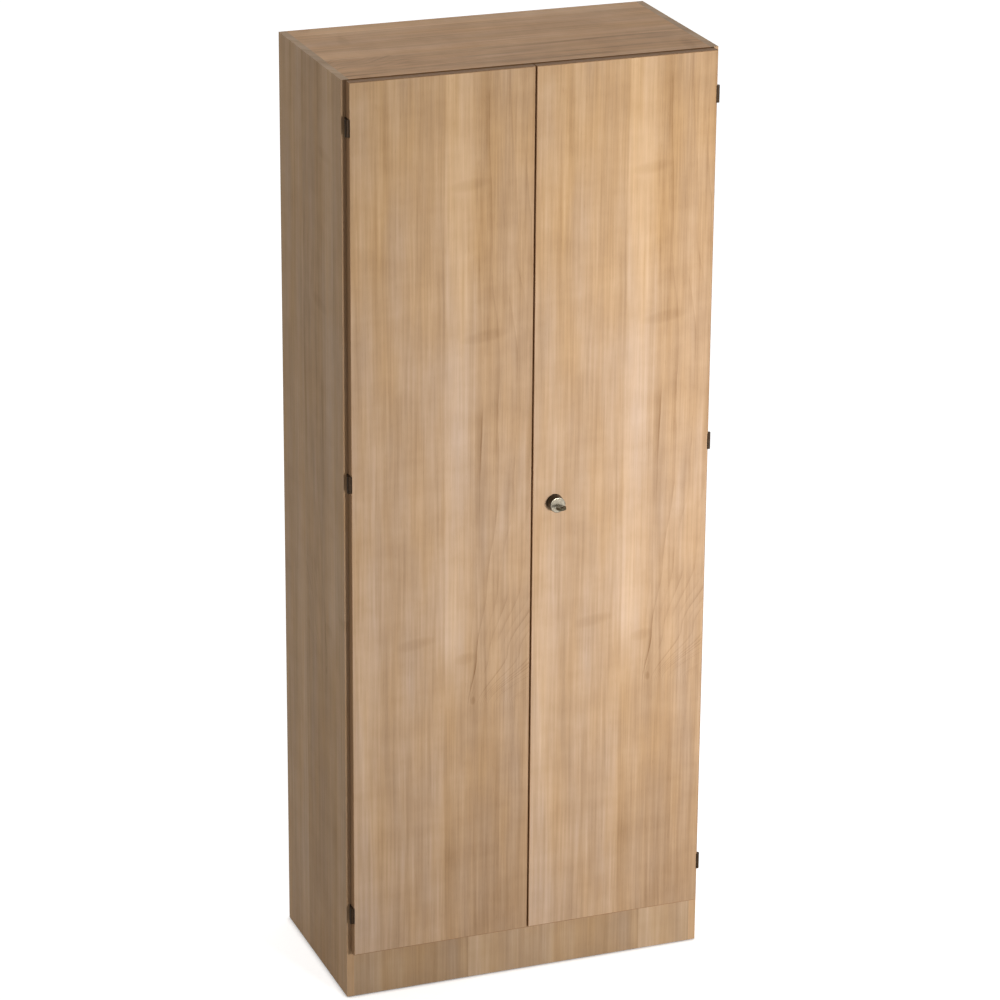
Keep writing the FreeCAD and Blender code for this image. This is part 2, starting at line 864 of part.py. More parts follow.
case_spot = ("+y", "lock_offset", "door_back_y", "lock_height")
pan = plate(
    "case_pan",
    "2 * case_half_width",
    "2 * case_half_height",
    "case_depth",
    *case_spot,
    corner="case_corner",
)
ears = plate(
    "case_ears",
    "2 * (case_half_width + case_ear)",
    "case_half_height * 2 / 3",
    "leaf_thickness",
    *case_spot,
    corner="plate_corner",
)
hollow = plate(
    "case_hollow",
    "2 * (case_half_width - case_wall)",
    "2 * (case_half_height - case_wall)",
    "case_depth - case_wall",
    *case_spot,
    corner="case_corner - case_wall",
)
slot_y = span("rod_front_y - case_play", "rod_front_y + rod_thickness + case_play")
upper_slot = box(
    "upper_slot",
    span("lock_offset - rod_far - case_play", "lock_offset - rod_near + case_play"),
    slot_y,
    ("lock_height", "case_half_height"),
)
lower_slot = box(
    "lower_slot",
    span("lock_offset + rod_near - case_play", "lock_offset + rod_far + case_play"),
    slot_y,
    ("lock_height - case_half_height", "case_half_height"),
)
tail_hole = bar(
    "tail_hole",
    "plug_tail_radius + running_clearance",
    "case_depth",
    "+y",
    "lock_offset",
    "door_back_y",
    "lock_height",
)
case_holes = [hollow, upper_slot, lower_slot, tail_hole]
case_screws = []
case_screw_holes = []
for side in SIDES.values():
    screw_x = f"lock_offset + {side} * (case_half_width + case_ear / 2)"
    screw_y = "door_back_y + leaf_thickness"
    case_screws.append(screw("case_screw", "-y", screw_x, screw_y, "lock_height"))
    case_screw_holes.append(screw("screw_way", "-y", screw_x, screw_y, "lock_height", "fit_clearance"))
node(cut("case", fuse("case_body", pan, ears), case_holes + case_screw_holes), "lock_case")
node(group("lock_screws", case_screws), "lock_case_screws")

# Pinion and racks. The flanks are involutes of the pinion's base circle, and the
# rods' teeth are the straight-sided rack that such a pinion meshes with.

centre = Vector(number("lock_offset"), number("rod_front_y"), number("lock_height"))
module = number("gear_module")
tooth_count = round(number("pinion_teeth"))
pitch_radius = number("pitch_radius")
addendum = number("tooth_addendum") * module
dedendum = number("tooth_dedendum") * module
backlash = number("tooth_backlash") * module
pressure = math.radians(number("pressure_angle"))
base_radius = pitch_radius * math.cos(pressure)
tooth_pitch = math.pi * module
FLANK_STEPS = 4


def involute(radius):
    """Angle that the flank has turned by at a radius."""
    slope = math.acos(base_radius / radius)
    return math.tan(slope) - slope


def prism(outline):
    """A flat outline in X and Z, made as thick as the rods are."""
    loop = Part.makePolygon(outline + outline[:1])
    return Part.Face(loop).extrude(Vector(0, number("rod_thickness"), 0))


def pinion_shape():
    half_tooth = (tooth_pitch / 2 - backlash) / (2 * pitch_radius) + involute(pitch_radius)
    tip_radius = pitch_radius + addendum
    rise = (tip_radius - base_radius) / FLANK_STEPS
    flank = [(pitch_radius - dedendum, half_tooth)]
    for step in range(FLANK_STEPS + 1):
        radius = base_radius + step * rise
        flank.append((radius, half_tooth - involute(radius)))
    outline = []
    for tooth in range(tooth_count):
        middle = 2 * math.pi * tooth / tooth_count
        tooth_side = [(radius, middle - angle) for radius, angle in flank]
        tooth_side += [(radius, middle + angle) for radius, angle in reversed(flank)]
        for radius, angle in tooth_side:
            outline.append(centre + Vector(radius * math.cos(angle), 0, radius * math.sin(angle)))
    tail_radius = number("plug_tail_radius + fit_clearance")
    bore = Part.makeCylinder(tail_radius, number("rod_thickness"), centre, Vector(0, 1, 0))
    return prism(outline).cut(bore)


def rod_shape(side, up, tip_z):
    """A rod beside the pinion, with its tip up or down and a rack on its tail."""
    near = number("rod_near")
    far = number("rod_far")
    root = pitch_radius + dedendum
    chamfer = number("rod_width") / 4
    half_gap = tooth_pitch / 4 + backlash / 2
    teeth = math.ceil(number("rod_travel") / tooth_pitch) + 1

    def corner(away, along):
        return centre + Vector(side * away, 0, up * along)

    outline = [corner(far, -number("rod_tail")), corner(near, -number("rod_tail"))]
    for gap in range(-teeth, 2):
        for away, turn in ((near, -1), (root, -1), (root, 1), (near, 1)):
            half = half_gap + (pitch_radius - away) * math.tan(pressure)
            outline.append(corner(away, gap * tooth_pitch + turn * half))
    reach = abs(tip_z - centre.z)
    outline += [corner(near, reach - chamfer), corner(near + chamfer, reach)]
    outline += [corner(far - chamfer, reach), corner(far, reach - chamfer)]
    return prism(outline)


pinion = doc.addObject("Part::Feature", "pinion")
pinion.Shape = pinion_shape()
node(pinion, "lock_pinion")
upper_rod = doc.addObject("Part::Feature", "rod_up")
upper_rod.Shape = rod_shape(-1, 1, number("rod_top_z"))
node(upper_rod, "upper_rod")
lower_rod = doc.addObject("Part::Feature", "rod_down")
lower_rod.Shape = rod_shape(1, -1, number("rod_low_z"))
node(lower_rod, "lower_rod")

# Rod guides on the door, and strikes that the rods enter in the carcass.

RODS = {
    "upper": (-1, 1, "rod_top_z"),
    "lower": (1, -1, "rod_low_z"),
}
guide_depth = "rod_standoff + rod_thickness + case_play + guide_wall"
guide_half = [
    ("guide_width / 2 + guide_ear", "0"),
    ("guide_width / 2 + guide_ear", "guide_wall"),
    ("guide_width / 2", "guide_wall"),
    ("guide_width / 2", guide_depth),
]
guide_outline = guide_half + [(f"-({x})", y) for x, y in reversed(guide_half)]
guides = []
strike_mortises = {}
for rod_name, (side, up, tip_z) in RODS.items():
    middle_x = f"lock_offset + {side} * (rod_near + rod_width / 2)"
    for guide_z in (f"lock_height + {up} * guide_distance", f"{tip_z} - {up} * guide_end_distance"):
        guide_span = span(f"{guide_z} - guide_height / 2", f"{guide_z} + guide_height / 2")
        bridge = pushed("guide_bridge", guide_outline, "guide_height")
        rounded(bridge, "guide_round", standing_at(guide_outline[3:5]))
        place(bridge, "+z", middle_x, "door_back_y", guide_span[0])
        way = box(
            "guide_way",
            around(middle_x, "rod_width", "case_play"),
            around("rod_mid_y", "rod_thickness", "case_play"),
            guide_span,
        )
        guides.append(cut("rod_guide", bridge, [way]))
    strike_hole = box(
        "strike_hole",
        around(middle_x, "rod_width", "strike_play"),
        around("rod_mid_y", "rod_thickness", "strike_play"),
        span("ceiling_z - strike_thickness", "ceiling_z + strike_bore")
        if up > 0
        else span("floor_z - strike_bore", "floor_z + strike_thickness"),
    )
    strike_plate = plate(
        "strike_plate",
        "strike_width",
        "strike_depth",
        "strike_thickness",
        "+z",
        middle_x,
        "front_y + strike_depth / 2",
        "ceiling_z - strike_thickness" if up > 0 else "floor_z",
        corner="plate_corner",
    )
    node(cut(f"{rod_name}_plate", strike_plate, [strike_hole]), f"{rod_name}_strike")
    strike_mortises[rod_name] = strike_hole
node(group("guides", guides), "rod_guides")

node(
    cut("top", top_board, [back_groove, strike_mortises["upper"]] + fitting_cuts["top"]),
    "top_panel",
)
node(
    cut("bottom", bottom_board, [back_groove, strike_mortises["lower"]] + fitting_cuts["bottom"]),
    "bottom_panel",
)

# Key: a flat blade with cuts along one edge, in a round plastic bow with a hole for
# a ring. The blade's outline is drawn from the rosette's face, inwards.

KEY_CUTS = (1, 3, 2, 4, 2)
edge_x = "key_width / 2"
blade_start = "bow_length - bow_grip - key_out"
blade_outline = [(f"-{edge_x}", blade_start), (edge_x, blade_start)]
for order, steps in enumerate(KEY_CUTS):
    cut_y = f"cut_start + {order} * cut_pitch"
    cut_depth = f"{steps} * cut_step"
    for towards_tip in (-1, 1):
        flat_end = f"{cut_y} + {towards_tip} * cut_flat / 2"
        slope = [
            (f"{edge_x} - {cut_depth}", flat_end),
            (edge_x, f"{flat_end} + {towards_tip} * {cut_depth}"),
        ]
        blade_outline += slope if towards_tip > 0 else slope[::-1]
blade_outline += [
    (edge_x, "key_in - key_tip"),
    (f"{edge_x} - key_tip", "key_in"),
    (f"-{edge_x} + key_tip", "key_in"),
    (f"-{edge_x}", "key_in - key_tip"),
]
blade = pushed("blade", blade_outline, "key_thickness")
place(blade, "+z", "lock_offset", "rosette_y", "lock_height - key_thickness / 2")
node(blade, "key_blade")
bow_low_z = "lock_height - bow_thickness / 2"
disc_profile = [("0", "0"), ("bow_radius", "0"), ("bow_radius", "bow_thickness"), ("0", "bow_thickness")]
bow_disc = turned("bow_disc", disc_profile, "+z", "lock_offset", "key_end_y + bow_radius", bow_low_z)
rounded(bow_disc, "bow_round", level)
bow_neck = plate(
    "bow_neck",
    "bow_neck",
    "bow_length - bow_radius",
    "bow_thickness",
    "+z",
    "lock_offset",
    "key_end_y + (bow_radius + bow_length) / 2",
    bow_low_z,
    edging="bow_round",
)
ring_hole = bar(
    "ring_hole",
    "bow_hole_radius",
    "bow_thickness",
    "+z",
    "lock_offset",
    "key_end_y + bow_hole_inset",
    bow_low_z,
)
node(cut("bow", fuse("bow_body", bow_disc, bow_neck), [ring_hole, blade]), "key_bow")

# Doors: a core board with a band of edging round all four edges, whose rims are
# rounded.

lock_hole = bar(
    "lock_hole",
    "barrel_radius + fit_clearance",
    "door_thickness",
    "+y",
    "lock_offset",
    "door_front_y",
    "lock_height",
)
for side_name, side in SIDES.items():
    door_y = span("door_front_y", "door_back_y")
    outline = plate(
        "door_outline",
        "door_outer_x - door_inner_x",
        "door_high_z - door_low_z",
        "door_thickness",
        "+y",
        f"{side} * (door_inner_x + door_outer_x) / 2",
        "door_front_y",
        "(door_low_z + door_high_z) / 2",
        edging="band_round",
    )
    core = box(
        "door_core",
        sided(side, "door_inner_x + edge_band", "door_outer_x - edge_band"),
        door_y,
        span("door_low_z + edge_band", "door_high_z - edge_band"),
    )
    mortises = door_mortises[side_name]
    node(cut(f"{side_name}_band", outline, [core] + mortises), f"{side_name}_door_edge_band")
    tools = mortises + door_screw_holes[side_name]
    if side > 0:
        tools = tools + [lock_hole] + case_screw_holes
    node(cut(f"{side_name}_core", core, tools), f"{side_name}_door_panel")

# Check every object, then write one file for each piece.

doc.recompute()
for item in doc.Objects:
    if "Invalid" in item.State or "Error" in item.State:
        raise RuntimeError(f"{item.Label} could not be made")
os.makedirs("parts", exist_ok=True)
for item in nodes:
    shape = item.Shape
    if shape.isNull() or not shape.isValid() or not shape.Solids:
        raise RuntimeError(f"{item.Label} is not a sound solid")
for item in nodes:
    item.Shape.exportStep(f"parts/{item.Label}.step")
print(len(nodes), "pieces written")
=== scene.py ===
# %% [markdown]
# # Dressing a tall office cabinet
# The cabinet arrives as a construction model: every board, hinge and lock piece already has its real size and place,
# in metres, with the floor at z = 0 and the doors towards -Y. None of it is moved here. This lesson gives each piece
# its finish, models the small pieces that a construction model leaves plain, and sets up camera and light.

# %% Load the construction model
import math

import bmesh
import bpy
from mathutils import Matrix, Vector


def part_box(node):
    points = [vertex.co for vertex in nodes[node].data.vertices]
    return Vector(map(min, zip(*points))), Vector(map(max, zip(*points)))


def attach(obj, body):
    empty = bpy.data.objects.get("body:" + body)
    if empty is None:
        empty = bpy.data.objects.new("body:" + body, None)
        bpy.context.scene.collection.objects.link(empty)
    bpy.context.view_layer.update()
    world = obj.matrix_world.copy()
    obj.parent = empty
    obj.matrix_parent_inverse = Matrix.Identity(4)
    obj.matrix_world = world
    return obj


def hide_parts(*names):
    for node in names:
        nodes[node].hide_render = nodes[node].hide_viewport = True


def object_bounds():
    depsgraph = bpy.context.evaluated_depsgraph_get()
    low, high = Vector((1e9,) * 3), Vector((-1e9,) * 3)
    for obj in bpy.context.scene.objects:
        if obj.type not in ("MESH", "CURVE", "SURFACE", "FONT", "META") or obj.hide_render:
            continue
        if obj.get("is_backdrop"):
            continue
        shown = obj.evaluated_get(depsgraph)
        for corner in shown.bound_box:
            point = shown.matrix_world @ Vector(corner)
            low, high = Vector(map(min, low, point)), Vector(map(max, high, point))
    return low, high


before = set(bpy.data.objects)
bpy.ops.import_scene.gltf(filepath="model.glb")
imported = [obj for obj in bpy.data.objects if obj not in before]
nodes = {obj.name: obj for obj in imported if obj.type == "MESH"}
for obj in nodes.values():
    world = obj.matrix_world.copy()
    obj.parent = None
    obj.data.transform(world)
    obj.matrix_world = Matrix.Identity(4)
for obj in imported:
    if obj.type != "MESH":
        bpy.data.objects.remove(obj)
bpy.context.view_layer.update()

scene = bpy.context.scene
scene.view_settings.view_transform = "Standard"

# %% [markdown]
# ## Writing shaders as sums
# A finish is a tree of nodes. Adding each Math node by hand makes long code, so a small class wraps a socket and
# lets it stand in a Python expression: `1 - mask * 0.3` then adds the two Math nodes itself. Every other node comes
# from one method, which takes the node's type, its settings and what goes into its sockets.


# %% The wire and the tree
class Wire:
    """A socket of a shader tree that can stand in an expression."""

    def __init__(self, tree, socket):
        self.tree = tree
        self.socket = socket

    def math(self, operation, *terms):
        return self.tree.node("ShaderNodeMath", {"operation": operation}, dict(enumerate(terms)))

    def output(self, name):
        """Another output of the node that this wire comes from."""
        return Wire(self.tree, self.socket.node.outputs[name])

    def __add__(self, other):
        return self.math("ADD", self, other)

    def __sub__(self, other):
        return self.math("SUBTRACT", self, other)

    def __rsub__(self, other):
        return self.math("SUBTRACT", other, self)

    def __mul__(self, other):
        return self.math("MULTIPLY", self, other)

    def __truediv__(self, other):
        return self.math("DIVIDE", self, other)

    def __pow__(self, other):
        return self.math("POWER", self, other)

    __radd__ = __add__
    __rmul__ = __mul__


class Tree:
    """The node tree of a material or a world, filled by one method."""

    def __init__(self, owner):
        owner.use_nodes = True
        self.owner = owner
        self.nodes = owner.node_tree.nodes
        self.links = owner.node_tree.links

    def feed(self, socket, value):
        if isinstance(value, Wire):
            self.links.new(value.socket, socket)
        else:
            socket.default_value = value

    def node(self, kind, settings=None, inputs=None, output=0):
        made = self.nodes.new(kind)
        for name, value in (settings or {}).items():
            if name == "stops":
                set_stops(made.color_ramp.elements, value)
            elif name == "easing":
                made.color_ramp.interpolation = value
            else:
                setattr(made, name, value)
        for name, value in (inputs or {}).items():
            self.feed(made.inputs[name], value)
        return Wire(self, made.outputs[output])


def set_stops(elements, stops):
    """Give a colour ramp its (position, colour) stops, in rising order."""
    elements[0].position = stops[0][0]
    elements[-1].position = stops[-1][0]
    for stop in stops[1:-1]:
        elements.new(stop[0])
    for element, (_, colour) in zip(elements, stops):
        element.color = (*colour, 1) if isinstance(colour, tuple) else (colour, colour, colour, 1)


print("Wires can be added, multiplied and raised to a power")

# %% [markdown]
# ## The camera
# The picture was taken from the left, from well above the cabinet's top, with a long lens. The place, the turns and
# the lens were worked out from the cabinet's edges and corners, so that this camera frames it in the same way. A lens
# shift could bring the edges closer still, but every other view would keep it, so only a slight roll is used.

# %% Place the camera
CAMERA_PLACE = Vector((-2.835, -7.482, 4.068))
CAMERA_YAW = math.radians(20.754)
CAMERA_PITCH = math.radians(20.86)
CAMERA_ROLL = math.radians(0.441)
LENS_MM = 146.8
SENSOR_MM = 36

camera_data = bpy.data.cameras.new("camera")
camera_data.lens = LENS_MM
camera_data.sensor_width = SENSOR_MM
camera = bpy.data.objects.new("camera", camera_data)
aim = Matrix.Rotation(-CAMERA_YAW, 4, "Z") @ Matrix.Rotation(math.pi / 2 - CAMERA_PITCH, 4, "X")
camera.matrix_world = Matrix.Translation(CAMERA_PLACE) @ aim @ Matrix.Rotation(CAMERA_ROLL, 4, "Z")
scene.collection.objects.link(camera)
scene.camera = camera
print("camera at", tuple(CAMERA_PLACE))

# %% [markdown]
# ## The white room
# The cabinet stands in a white studio, which lights its left side and its top. A ring of large lamps could stand for
# the studio, but the world's own light is as soft and has fewer settings. It is stronger behind the cabinet than in
# front of it, so it doesn't wash out the fall-off of light across the doors. For the camera and for mirror reflections
# it is plain white, which Light Path tells apart.

# %% Room
WHITE = (1, 1, 1, 1)
ROOM_COLOUR = (1.0, 0.99, 0.97, 1)
ROOM_STRENGTH = 0.42

room = bpy.data.worlds.new("room")
scene.world = room
room_tree = Tree(room)
rays = room_tree.node("ShaderNodeLightPath", output="Is Camera Ray")
seen = rays.math("MAXIMUM", rays, rays.output("Is Glossy Ray"))
seen = rays.math("MAXIMUM", seen, rays.output("Is Transmission Ray"))
towards = room_tree.node("ShaderNodeTexCoord", output="Generated")
depth = room_tree.node("ShaderNodeSeparateXYZ", {}, {"Vector": towards}, "Y")
graded = {"Color": ROOM_COLOUR, "Strength": (depth + 1) * ROOM_STRENGTH}
shaded = room_tree.node("ShaderNodeBackground", {}, graded)
plain = room_tree.node("ShaderNodeBackground", {}, {"Color": WHITE, "Strength": 1})
backdrop = room_tree.node("ShaderNodeMixShader", {}, {0: seen, 1: shaded, 2: plain})
room_tree.feed(room_tree.nodes["World Output"].inputs["Surface"], backdrop)
print("room light", ROOM_STRENGTH)

# %% [markdown]
# ## The lamp
# The right door is clearly lighter than the left one, and both are lightest a little above the lock. One lamp in front
# on the right gives that. A point lamp would throw hard shadows, so this one is a soft square. Its narrow spread works
# like a grid on a studio lamp and makes the light fall off across the doors. It stands low, so the doors throw almost
# no shadow on the plinth.

# %% Lamp
LAMP_PLACE = Vector((1.0, -4.0, 1.35))
LAMP_TARGET = Vector((1.27, -0.18, 1.164))
LAMP_SIZE = 0.8
LAMP_SPREAD = math.radians(75.8)
LAMP_WATTS = 36.6
LAMP_COLOUR = (1, 0.985, 0.97)

lamp_data = bpy.data.lights.new("right_lamp", "AREA")
lamp_data.size = LAMP_SIZE
lamp_data.spread = LAMP_SPREAD
lamp_data.energy = LAMP_WATTS
lamp_data.color = LAMP_COLOUR
lamp = bpy.data.objects.new("right_lamp", lamp_data)
lamp.location = LAMP_PLACE
lamp.rotation_euler = (LAMP_TARGET - LAMP_PLACE).to_track_quat("-Z", "Y").to_euler()
lamp.visible_camera = False
scene.collection.objects.link(lamp)
print("lamp of", LAMP_WATTS, "W")

# %% [markdown]
# ## The floor
# The cabinet stands on a white floor that runs on into the white room. A floor lit only by the lamp would come out
# grey, so it glows, for the camera alone. The glow is added to its ordinary white surface, and the cabinet's soft
# shadow still shows. The glow fades where the cabinet stands close above the floor, which Ambient Occlusion finds,
# so a thin dark line of painted contact shadow runs along the cabinet's foot.

# %% Make the floor
FLOOR_SIZE = 40
FLOOR_COLOUR = (0.85, 0.85, 0.85, 1)
FLOOR_GLOW = 0.72
CONTACT_REACH = 0.012

sheet = bmesh.new()
bmesh.ops.create_grid(sheet, x_segments=1, y_segments=1, size=FLOOR_SIZE / 2)
floor_mesh = bpy.data.meshes.new("floor")
sheet.to_mesh(floor_mesh)
sheet.free()
floor = bpy.data.objects.new("floor", floor_mesh)
scene.collection.objects.link(floor)
floor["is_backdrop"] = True

floor_finish = Tree(bpy.data.materials.new("white_floor"))
floor_mesh.materials.append(floor_finish.owner)
rays = floor_finish.node("ShaderNodeLightPath", output="Is Camera Ray")
paint = floor_finish.node("ShaderNodeBsdfDiffuse", {}, {"Color": FLOOR_COLOUR})
# Ambient Occlusion dims the floor's glow close to the cabinet: this paints the contact shadow.
free = floor_finish.node("ShaderNodeAmbientOcclusion", {"samples": 2}, {"Distance": CONTACT_REACH}, "AO")
glow = floor_finish.node("ShaderNodeEmission", {}, {"Color": WHITE, "Strength": rays * free * FLOOR_GLOW})
both = floor_finish.node("ShaderNodeAddShader", {}, {0: paint, 1: glow})
floor_finish.feed(floor_finish.nodes["Material Output"].inputs["Surface"], both)
print("floor", FLOOR_SIZE, "m wide")

# %% [markdown]
# ## Finishes in general
# Each finish is one material on a Principled BSDF. What is the same all over is set on the shader's own sockets, and
# only colour, roughness, metal and bump get nodes. Patterns read Object coordinates, which are metres in the cabinet's
# own frame, so a pattern has a real size and travels with its door.


# %% Finish helpers
class Finish(Tree):
    """A material with a Principled shader and the place on the piece, in metres."""

    def __init__(self, name, **constants):
        super().__init__(bpy.data.materials.new(name))
        self.shader = self.nodes["Principled BSDF"]
        for socket, value in constants.items():
            self.shader.inputs[socket.replace("_", " ")].default_value = value
        self.place = self.node("ShaderNodeTexCoord", output="Object")
        self.x = self.node("ShaderNodeSeparateXYZ", {}, {"Vector": self.place}, "X")
        self.y = self.x.output("Y")
        self.z = self.x.output("Z")

    def set(self, socket, value):
        self.feed(self.shader.inputs[socket], value)

    def cloud(self, u, v, size_u, size_v, seed, detail=2):
        """Noise round zero, in patches of size_u by size_v metres."""
        spot = self.node("ShaderNodeCombineXYZ", {}, {"X": u / size_u, "Y": v / size_v, "Z": seed})
        noise = self.node("ShaderNodeTexNoise", {}, {"Vector": spot, "Scale": 1, "Detail": detail})
        return noise - 0.5

    def speckle(self, size, detail=2):
        """Noise round zero in even grains of a size in metres."""
        inputs = {"Vector": self.place, "Scale": 1 / size, "Detail": detail}
        return self.node("ShaderNodeTexNoise", {}, inputs) - 0.5

    def ramp(self, value, stops, smooth=False):
        settings = {"stops": stops, "easing": "EASE" if smooth else "LINEAR"}
        return self.node("ShaderNodeValToRGB", settings, {"Fac": value})

    def blend(self, factor, low, high):
        """A mix of two colours."""
        return self.node("ShaderNodeMix", {"data_type": "RGBA"}, {0: factor, 6: low, 7: high}, 2)

    def times(self, colour, tint):
        """A colour multiplied by another, part by part."""
        return self.node("ShaderNodeVectorMath", {"operation": "MULTIPLY"}, {0: colour, 1: tint})

    def step(self, value, low, high):
        """A soft step from 0 to 1 between two values."""
        inputs = {"Value": value, "From Min": low, "From Max": high}
        return self.node("ShaderNodeMapRange", {"interpolation_type": "SMOOTHSTEP"}, inputs)

    def bump(self, height, depth):
        """Relief from a height of about 0 to 1, over a depth in metres."""
        self.set("Normal", self.node("ShaderNodeBump", {}, {"Height": height, "Strength": 1, "Distance": depth}))


dressed = set()


def dress(finish, *names):
    """Put a finish on construction pieces."""
    for name in names:
        for slot in nodes[name].material_slots:
            slot.material = finish.owner
        dressed.add(name)
    print(finish.owner.name, "on", len(names), "pieces")


print(len(nodes), "pieces to dress")

# %% [markdown]
# ## The wood decor
# The boards are faced with a printed light walnut: fine straight grain in long staves, one stave with a pointed flame
# figure, and a lighter stripe along it. A photograph of wood could be wrapped round the boards, but a printed sheet
# can be worked out. All distances are metres across the grain (u) and along it (v). The flame comes first: growth lines
# are counted outwards from one edge of the stave, and the gap between them widens with height.

# %% Flame figure
FLAME_START = 0.243
FLAME_ROOT = 0.640
FLAME_REACH = 1.4
FLAME_GAP = 0.04
FLAME_GAPS = ((0.0, 0.10), (0.08, 0.34), (0.19, 0.62), (0.33, 0.90), (0.54, 0.93), (0.70, 0.70), (1.0, 0.58))
FLAME_WAVER, WAVER_LINES = (0.030, 0.12, 4.7), 0.30
FLAME_BREAKS, BREAK_LEVELS = (1, 0.22, 9.1), (-0.15, 0.25)
FLAME_SIDE = (0.0, 0.8)
ROOT_BELOW, ROOT_ABOVE = 0.10, 0.05
FLAME_FADE, FADE_SHARE = (1.30, 1.65), 0.4
LINES_APART = 3.7
LINE_STRENGTH, MAIN_LINE_EXTRA = 0.8, 0.25
LINE_SHARPNESS = 4


def flame(finish, u, v):
    """Growth lines that fan upwards from a point, darkest at their outer edge and fainter towards the top."""
    height = (v - FLAME_ROOT) / FLAME_REACH
    gap = finish.ramp(height, FLAME_GAPS, smooth=True) * FLAME_GAP
    count = (u - FLAME_START) / gap + finish.cloud(u, v, *FLAME_WAVER) * WAVER_LINES
    saw = count.math("FRACT", count)
    line = count.math("FLOOR", count)
    main = 1 - finish.step(line.math("ABSOLUTE", line - 1), 0.0, 1.0)
    unbroken = finish.step(finish.cloud(line * LINES_APART, v, *FLAME_BREAKS), *BREAK_LEVELS)
    strength = unbroken * LINE_STRENGTH + main * MAIN_LINE_EXTRA
    inside = finish.step(count, *FLAME_SIDE) * finish.step(v, FLAME_ROOT - ROOT_BELOW, FLAME_ROOT + ROOT_ABOVE)
    fade = 1 - finish.step(v, *FLAME_FADE) * FADE_SHARE
    return (saw ** LINE_SHARPNESS) * strength * inside * fade


print("flame from", FLAME_ROOT, "m upwards")

# %% [markdown]
# ## Staves and marks
# The print joins staves of different lightness: a pale strip at one edge, and a pale stripe beside the flame. A knot
# and a few smoky marks lie across the grain. They could be painted on an image, but soft steps and round patches at
# given places are enough, and they stay sharp at any size.

# %% Staves and marks
STRIP_END, STRIP_BLUR = 0.050, 0.004
STRIP_PALE, STRIP_LOSS, STRIP_RISE = 0.42, 0.30, (0.5, 1.3)
STRIPE_START, STRIPE_END = 0.199, 0.285
STRIPE_BLUR, STRIPE_FULL = 0.002, 0.022
STRIPE_PALE, STRIPE_DIM, STRIPE_RISE = 0.62, 0.10, (0.55, 0.80)
BEYOND_DIM, LOWER_DIM = 0.14, 0.18
KNOT = (0.262, 0.655, 0.007, 0.012)
KNOT_STRENGTH = 0.5
FIGURE_MARKS = ((0.252, 1.772, 0.050), (0.285, 1.452, 0.060), (0.135, 0.800, 0.050), (0.245, 0.752, 0.030))
MARK_HALF, MARK_LEAN, MARK_STRENGTH = 0.016, 0.12, 0.28


def staves(finish, u, v):
    """How light each stave is against the mean, about -0.5 to 0.5."""
    pale = STRIP_PALE - STRIP_LOSS * finish.step(v, *STRIP_RISE)
    strip = finish.step(u, STRIP_END + STRIP_BLUR, STRIP_END - STRIP_BLUR) * pale
    upper = finish.step(v, *STRIPE_RISE)
    edge = finish.step(u, STRIPE_START - STRIPE_BLUR, STRIPE_START + STRIPE_BLUR)
    stripe = edge * finish.step(u, STRIPE_END, STRIPE_START + STRIPE_FULL)
    dimmed = edge * (1 - stripe) * BEYOND_DIM + edge * (1 - upper) * LOWER_DIM
    return strip + stripe * (upper * STRIPE_PALE - STRIPE_DIM) - dimmed


def patch(finish, u, v, middle_u, middle_v, half_u, half_v):
    """A soft patch that is 1 in its middle."""
    across = (u - middle_u) / half_u
    along = (v - middle_v) / half_v
    return finish.step(across * across + along * along, 1.0, 0.0)


def figure_marks(finish, u, v):
    """The knot and the leaning smoky marks."""
    marks = patch(finish, u, v, *KNOT) * KNOT_STRENGTH
    for middle_u, middle_v, half_u in FIGURE_MARKS:
        lean = middle_v + (u - middle_u) * MARK_LEAN
        marks = marks + patch(finish, u, v, middle_u, lean, half_u, MARK_HALF) * MARK_STRENGTH
    return marks


print(len(FIGURE_MARKS), "marks and a knot")

# %% [markdown]
# ## Bare cores
# Where no print covers a board, its core shows: pressed chips in the boards, fine brown fibre in the back. Voronoi
# cells look like chips, each with one random brown. Fibre has no such cells, so plain fine noise will do.

# %% Bare cores
CHIPS_PER_METRE = 420
CHIP_BROWNS = ((0.1, (0.20, 0.12, 0.06)), (0.9, (0.52, 0.37, 0.22)))
FIBRE_BROWNS = ((0.2, (0.17, 0.10, 0.055)), (0.8, (0.27, 0.175, 0.10)))


def chipboard(finish):
    """Pressed chips in mixed browns."""
    inputs = {"Vector": finish.place, "Scale": CHIPS_PER_METRE}
    chips = finish.node("ShaderNodeTexVoronoi", {}, inputs, "Color")
    chip = finish.node("ShaderNodeSeparateColor", {}, {"Color": chips}, "Red")
    return finish.ramp(chip + finish.speckle(0.012) * 0.6, CHIP_BROWNS)


def fibreboard(finish):
    """Smooth brown pressed fibre."""
    fibre = finish.speckle(0.0016, 4) + finish.speckle(0.09) * 0.5
    return finish.ramp(fibre + 0.5, FIBRE_BROWNS)


print("chips of", round(1000 / CHIPS_PER_METRE, 1), "mm")

# %% [markdown]
# ## Laying the decor
# The finish of a board adds up broad, middle and fine grain, pores, shimmer, staves, flame and marks. The sum picks a
# colour between a dark, a middle and a light wood tone, and a slow drift makes it cooler or warmer. Colours could be
# mixed layer by layer, but one tone and one ramp keep to the colours of wood. Across the grain the sheet starts again
# after its width, so both doors show the same figure, as they do on the real cabinet.

